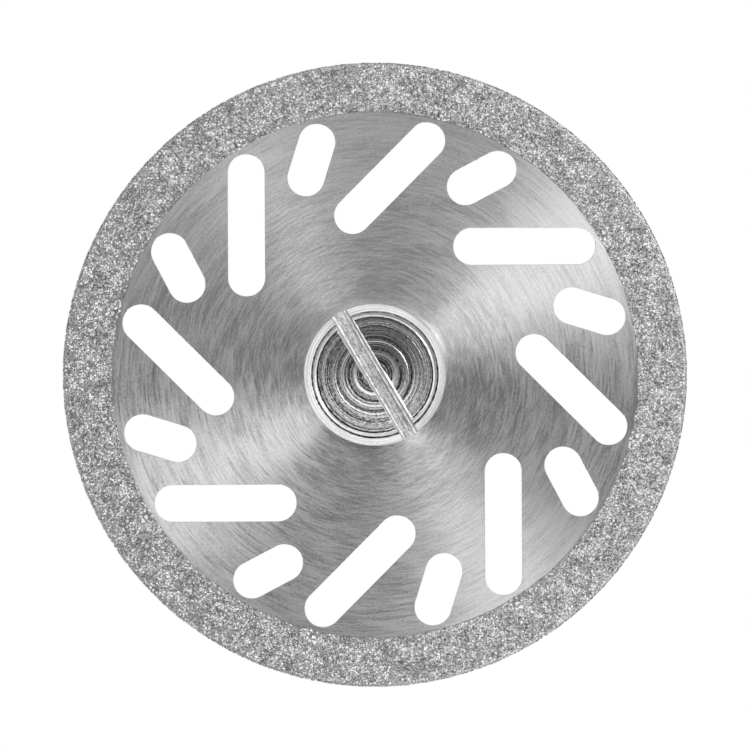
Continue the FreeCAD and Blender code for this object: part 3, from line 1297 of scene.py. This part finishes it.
@dataclass
class Mandrel:
    """Collar, cone and plain shank turned from one bar, with the screw's blind hole.

    A small profile is a table of points, each a distance out and a distance up.

    Attributes:
        collar_thickness: Of the collar behind the blade.
        collar_bevel: Both edges of the collar.
        neck_radius: Where the cone starts.
        neck_length: From the collar down to the shank.
        neck_corner: Rounded corner between the collar and the cone.
        shank_radius: Of the handpiece shank.
        shank_blend: Where the cone runs out into the shank.
        shank_end: Bevel at the end of the shank.
        shank_bevel: Length of that bevel.
        shank_rings: Facets along the shank.
        hole_radius: Of the blind hole.
        hole_depth: To the end of its full diameter.
        hole_mouth: Bevel at its mouth.
        drill_angle: Half the angle of the drill's point, in degrees.
        segments: Facets round the axis.
    """

    collar_thickness: float = 1.0
    collar_bevel: float = 0.15
    neck_radius: float = 1.7
    neck_length: float = 0.8
    neck_corner: Table = ((0.06, 0.0), (0.015, 0.015), (-0.03, 0.06))
    shank_radius: float = 1.175
    shank_blend: Table = ((0.04, -0.06), (0.01, -0.015), (0.0, 0.06))
    shank_end: Table = ((0.0, -0.32), (-0.006, -0.29), (-0.29, -0.006), (-0.32, 0.0))
    shank_bevel: float = 0.3
    shank_rings: int = 40
    hole_radius: float = 0.81
    hole_depth: float = 4.2
    hole_mouth: float = 0.06
    drill_angle: float = 59.0
    segments: int = 192

    def build(self) -> None:
        """Turns the mandrel."""
        low, high = node_levels("mandrel")
        collar, hole, shank = node_radius("mandrel"), self.hole_radius, self.shank_radius
        collar_end = low + self.collar_thickness
        cone_end = collar_end + self.neck_length
        straight = high - self.shank_bevel - cone_end
        drill_rise = hole / math.tan(math.radians(self.drill_angle))
        profile = [
            (0.0, low + self.hole_depth + drill_rise),
            (hole, low + self.hole_depth),
            (hole, low + self.hole_mouth),
            (hole + self.hole_mouth, low),
            (collar - self.collar_bevel, low),
            (collar, low + self.collar_bevel),
            (collar, collar_end - self.collar_bevel),
            (collar - self.collar_bevel, collar_end),
        ]
        profile += [(self.neck_radius + out, collar_end + up) for out, up in self.neck_corner]
        profile += [(shank + out, cone_end + up) for out, up in self.shank_blend]
        for number in range(1, self.shank_rings):
            profile.append((shank, cone_end + straight * number / self.shank_rings))
        profile += [(shank + out, high + up) for out, up in self.shank_end]
        profile.append((0.0, high))
        bm = bmesh.new()
        turn_profile(bm, profile, self.segments)
        piece = finished_piece(bm, "mandrel_turned", [GROUND_SHANK.build()])
        settle(piece, "mandrel_steel", "mandrel")


@dataclass(frozen=True)
class SoftBox:
    """A square studio lamp that faces the tool.

    Attributes:
        name: Lamp name.
        azimuth: Where it stands round the tool, in degrees from +X.
        elevation: Above the horizon, and negative below it, in degrees.
        distance: From the tool, in mm.
        side: Of the lamp's square, in mm.
        radiance: Brightness of its surface, where 1 is white.
    """

    name: str
    azimuth: float
    elevation: float
    distance: float
    side: float
    radiance: float

    def build(self) -> None:
        """Places the lamp."""
        lamp = bpy.data.lights.new(self.name, "AREA")
        lamp.shape = "SQUARE"
        lamp.size = self.side * MM
        lamp.energy = math.pi * lamp.size**2 * self.radiance
        azimuth, elevation = math.radians(self.azimuth), math.radians(self.elevation)
        turn = Matrix.Rotation(azimuth, 3, "Z") @ Matrix.Rotation(-elevation, 3, "Y")
        direction = turn @ Vector((1, 0, 0))
        holder = bpy.data.objects.new(self.name, lamp)
        holder.location = direction * self.distance * MM
        holder.rotation_euler = (-direction).to_track_quat("-Z", "Y").to_euler()
        holder.visible_camera = False
        bpy.context.scene.collection.objects.link(holder)


@dataclass
class Studio:
    """Pale floor, white surroundings, lamps, a grey card behind the camera, and the camera.

    Attributes:
        lens: Focal length, in mm on a 36 mm sensor.
        floor_radius: Of the round floor, in mm.
        floor_fade: Radii from which and to which the floor fades into the white, in mm.
        floor_colour: Of the floor round the tool.
        card_radius: Of the grey card that the polished faces see, in mm.
        card_distance: Below the tool, in mm.
        card_range: Brightness of the card's middle at its dark and light sides.
        card_surround: Brightness of the card outside its middle.
        card_blend: Radii from which and to which the middle fades out, in mm.
        card_ramp: Where the card starts and ends to brighten, in mm past its middle.
        card_bearing: Direction of the light side, in degrees from +X.
        flags: Where the tall flags stand round the tool, in degrees from +X.
        flag_size: Width and height of a flag, in mm.
        flag_level: Middle of a flag above or below the tool's head, in mm.
        flag_distance: From the axis, in mm.
        flag_grey: Brightness of a flag.
        fill: Strength of the white surroundings as a light.
        lamps: The lamps below the tool, which the camera's side sees, and above it.
    """

    lens: float = 250.0
    floor_radius: float = 900.0
    floor_fade: Pair = (60.0, 220.0)
    floor_colour: str = "#F4F4F4"
    card_radius: float = 455.0
    card_distance: float = 400.0
    card_range: Pair = (0.0, 1.15)
    card_surround: float = 0.48
    card_blend: Pair = (170.0, 290.0)
    card_ramp: Pair = (-20.0, 70.0)
    card_bearing: float = 94.0
    flags: tuple[float, ...] = (50.0, 130.0, -130.0)
    flag_size: Pair = (95.0, 190.0)
    flag_level: float = 140.0
    flag_distance: float = 250.0
    flag_grey: float = 0.2
    fill: float = 0.7
    lamps: tuple[SoftBox, ...] = (
        SoftBox("lower_key", azimuth=148, elevation=-62, distance=320, side=74, radiance=11.4),
        SoftBox("lower_side", azimuth=-122, elevation=-57, distance=95, side=24, radiance=10.0),
        SoftBox("lower_fill", azimuth=-30, elevation=-48, distance=160, side=50, radiance=3.6),
        SoftBox("upper_key", azimuth=-50, elevation=50, distance=260, side=140, radiance=2.6),
        SoftBox("upper_side", azimuth=130, elevation=40, distance=260, side=140, radiance=1.5),
    )

    def build(self) -> None:
        """Sets up the studio."""
        self._world()
        self._floor()
        self._card()
        self._flags()
        for lamp in self.lamps:
            lamp.build()
        self._camera()
        bpy.context.scene.view_settings.view_transform = "Standard"

    def _world(self) -> None:
        """White behind the tool and in its metal, and a softer fill on everything."""
        world = bpy.data.worlds.new("white_surroundings")
        world.use_nodes = True
        bpy.context.scene.world = world
        tree = world.node_tree
        path = add_node(tree, "LightPath", {}).node.outputs
        seen = path["Is Camera Ray"]
        for ray in ("Is Glossy Ray", "Is Transmission Ray"):
            seen = add_node(tree, "Math", {0: seen, 1: path[ray]}, operation="MAXIMUM")
        fill = add_node(tree, "Background", {"Color": WHITE, "Strength": self.fill})
        shown = add_node(tree, "Background", {"Color": WHITE, "Strength": 1.0})
        mixed = add_node(tree, "MixShader", {0: seen, 1: fill, 2: shown})
        wire(tree.nodes["World Output"], {"Surface": mixed})

    def _floor(self) -> None:
        """A pale floor that is seen, and keeps shadows, only from above."""
        material, tree, place = new_material("studio_floor")
        radius = add_node(tree, "VectorMath", {0: place}, "Value", operation="LENGTH")
        span = self._span(radius, self.floor_fade)
        fade = add_node(tree, "MapRange", span, interpolation_type="SMOOTHSTEP")
        paper = add_node(tree, "BsdfDiffuse", {"Color": linear_colour(self.floor_colour)})
        glow = add_node(tree, "Emission", {"Color": WHITE, "Strength": 1.0})
        sheet = add_node(tree, "MixShader", {0: fade, 1: paper, 2: glow})
        clear = add_node(tree, "BsdfTransparent", {"Color": WHITE})
        under = add_node(tree, "NewGeometry", {}, "Backfacing")
        both = add_node(tree, "MixShader", {0: under, 1: sheet, 2: clear})
        self._lit_by(material, both)
        floor = self._disc("floor", self.floor_radius, 0.0, material)
        self._hide(floor, "glossy", "diffuse", "transmission", "shadow")

    def _card(self) -> None:
        """A card behind the camera that goes from dark to light, seen only in polished metal."""
        material, tree, place = new_material("grey_card")
        bearing = math.radians(self.card_bearing)
        sides = {0: place, 1: (math.cos(bearing), math.sin(bearing), 0.0)}
        rings = {0: place, 1: (0.0, 0.0, -self.card_distance * MM)}
        reach = add_node(tree, "VectorMath", sides, "Value", operation="DOT_PRODUCT")
        radius = add_node(tree, "VectorMath", rings, "Value", operation="DISTANCE")
        dark, light = self.card_range
        span = {**self._span(reach, self.card_ramp), "To Min": dark, "To Max": light}
        middle = add_node(tree, "MapRange", span)
        span = {**self._span(radius, self.card_blend), "To Min": middle}
        level = add_node(tree, "MapRange", {**span, "To Max": self.card_surround})
        self._lit_by(material, add_node(tree, "Emission", {"Color": WHITE, "Strength": level}))
        card = self._disc("card", self.card_radius, -self.card_distance, material)
        self._hide(card, "camera", "diffuse", "transmission", "shadow")

    def _flags(self) -> None:
        """Tall dark flags round the tool, whose reflections give the turned steel its form."""
        material, tree, _ = new_material("dark_flag")
        grey = {"Color": WHITE, "Strength": self.flag_grey}
        self._lit_by(material, add_node(tree, "Emission", grey))
        width, height = (side * MM for side in self.flag_size)
        bm = bmesh.new()
        for azimuth in self.flags:
            for level in (-self.flag_level, self.flag_level):
                place = (
                    Matrix.Rotation(math.radians(azimuth), 4, "Z")
                    @ Matrix.Translation((self.flag_distance * MM, 0, level * MM))
                    @ Matrix.Rotation(-math.pi / 2, 4, "Y")
                    @ Matrix.Diagonal((height, width, 1, 1))
                )
                bmesh.ops.create_grid(bm, x_segments=1, y_segments=1, size=0.5, matrix=place)
        flags = linked_piece(bm, "flags", [material])
        self._hide(flags, "camera", "diffuse", "transmission", "shadow")

    def _span(self, value: Socket, edges: Pair) -> Inputs:
        """Inputs that map a value over a stretch whose edges are in mm."""
        start, end = (edge * MM for edge in edges)
        return {"Value": value, "From Min": start, "From Max": end}

    def _lit_by(self, material: Material, light: Socket) -> None:
        """Makes a stage material of what a light or a surface gives off.

        Args:
            material: The stage material.
            light: The shader that it shows.
        """
        tree = material.node_tree
        tree.nodes.remove(tree.nodes["Principled BSDF"])
        wire(tree.nodes["Material Output"], {"Surface": light})

    def _hide(self, piece: Piece, *rays: str) -> None:
        """Hides a stage piece from some kinds of ray."""
        for ray in rays:
            setattr(piece, f"visible_{ray}", False)

    def _disc(self, name: str, radius: float, level: float, material: Material) -> Piece:
        """Makes a flat round stage piece that faces up.

        Args:
            name: Piece name.
            radius: Of the disc, in mm.
            level: Where it lies, in mm above the tool's head.
            material: Its material.

        Returns:
            The disc.
        """
        bm = bmesh.new()
        place = Matrix.Translation((0, 0, level * MM))
        bmesh.ops.create_circle(bm, cap_ends=True, segments=96, radius=radius * MM, matrix=place)
        for face in bm.faces:
            if face.normal.z < 0:
                face.normal_flip()
        piece = linked_piece(bm, name, [material])
        return piece

    def _camera(self) -> None:
        """Looks straight up the axis at the screw's head, as the photograph does."""
        data = bpy.data.cameras.new("camera")
        data.lens = self.lens
        data.clip_start = 1 * MM
        camera = bpy.data.objects.new("camera", data)
        pixel = node_radius("diamond_rim") / PHOTO_DISC_RADIUS
        distance = pixel * PHOTO_SIDE * self.lens / data.sensor_width
        across, down = (pixel * (place - PHOTO_SIDE / 2) for place in PHOTO_CENTRE)
        level = sum(node_levels("diamond_rim")) / 2
        camera.location = Vector((across, down, level - distance)) * MM
        camera.rotation_euler = (0, math.pi, 0)
        bpy.context.scene.collection.objects.link(camera)
        bpy.context.scene.camera = camera


def main() -> None:
    """Builds the tool and its studio."""
    logging.basicConfig(level=logging.INFO, format="%(name)s: %(message)s")
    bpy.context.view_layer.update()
    for part in (Blade(), DiamondRim(), ClampScrew(), Mandrel()):
        part.build()
    Studio().build()


if __name__ == "__main__":
    main()
